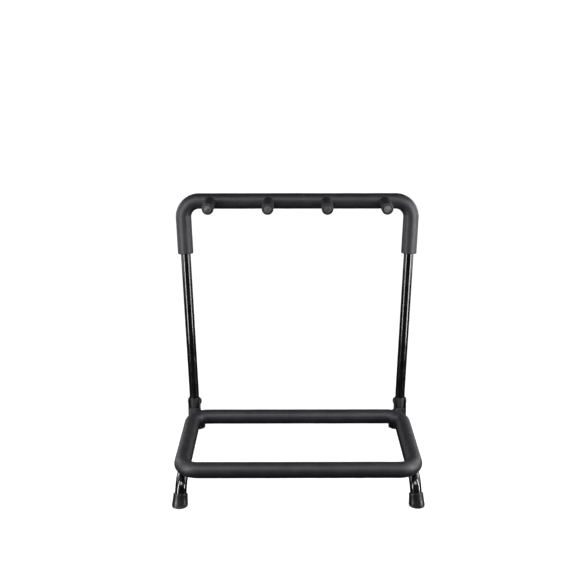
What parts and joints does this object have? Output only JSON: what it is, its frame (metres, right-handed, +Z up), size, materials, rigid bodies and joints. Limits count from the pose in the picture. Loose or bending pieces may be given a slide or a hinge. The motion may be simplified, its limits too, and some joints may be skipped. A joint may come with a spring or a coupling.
{
  "type": "guitar rack",
  "caption": "Folding floor rack for a row of guitars: padded upright frame with pegs, hinged to a padded rectangular loop on side tubes with rubber feet.",
  "frame": {"origin": "on the floor, at the middle of the rack's outline seen from above", "axes": "+Z up, the guitars and the pegs face -Y, +X to the right of a person who stands in front"},
  "size_m": [0.5474, 0.4244, 0.5915],
  "materials": {
    "foam": "charcoal closed-cell foam sleeve, matt, finely pored",
    "gloss_tube": "gloss black powder coat on round steel tube",
    "bracket": "satin black coat on folded steel and fasteners",
    "foot_rubber": "black moulded rubber, slightly shiny",
    "nylon": "black nylon",
    "end_cap": "dark grey moulded plastic",
    "zinc": "zinc-plated steel"
  },
  "bodies": {
    "base": {"front_loop_tube": "gloss_tube", "front_loop_foam": "foam", "rear_loop_tube": "gloss_tube", "rear_loop_foam": "foam", "loop_joiner_left": "zinc", "side_tube_left": "gloss_tube", "hinge_bracket_left": "bracket", "foot_front_left": "foot_rubber", "saddle_front_left": "nylon", "saddle_screw_front_left": "zinc", "foot_rear_left": "foot_rubber", "saddle_rear_left": "nylon", "saddle_screw_rear_left": "zinc", "pivot_bolt_left": "bracket", "pivot_nut_left": "bracket", "bracket_bolt_left": "bracket", "bracket_nut_left": "bracket", "loop_joiner_right": "zinc", "side_tube_right": "gloss_tube", "hinge_bracket_right": "bracket", "foot_front_right": "foot_rubber", "saddle_front_right": "nylon", "saddle_screw_front_right": "zinc", "foot_rear_right": "foot_rubber", "saddle_rear_right": "nylon", "saddle_screw_rear_right": "zinc", "pivot_bolt_right": "bracket", "pivot_nut_right": "bracket", "bracket_bolt_right": "bracket", "bracket_nut_right": "bracket"},
    "upright": {"upright_frame": "gloss_tube", "neck_foam": "foam", "pivot_liner_left": "nylon", "upright_plug_left": "nylon", "pivot_liner_right": "nylon", "upright_plug_right": "nylon", "peg_core_1": "gloss_tube", "peg_foam_1": "foam", "peg_cap_1": "end_cap", "peg_core_2": "gloss_tube", "peg_foam_2": "foam", "peg_cap_2": "end_cap", "peg_core_3": "gloss_tube", "peg_foam_3": "foam", "peg_cap_3": "end_cap", "peg_core_4": "gloss_tube", "peg_foam_4": "foam", "peg_cap_4": "end_cap"}
  },
  "joints": [
    {"name": "frame_fold", "type": "hinge", "parent": "base", "child": "upright", "pos_m": [0, 0.108, 0.105], "axis": [1, 0, 0], "range_deg": [0, 90]}
  ]
}
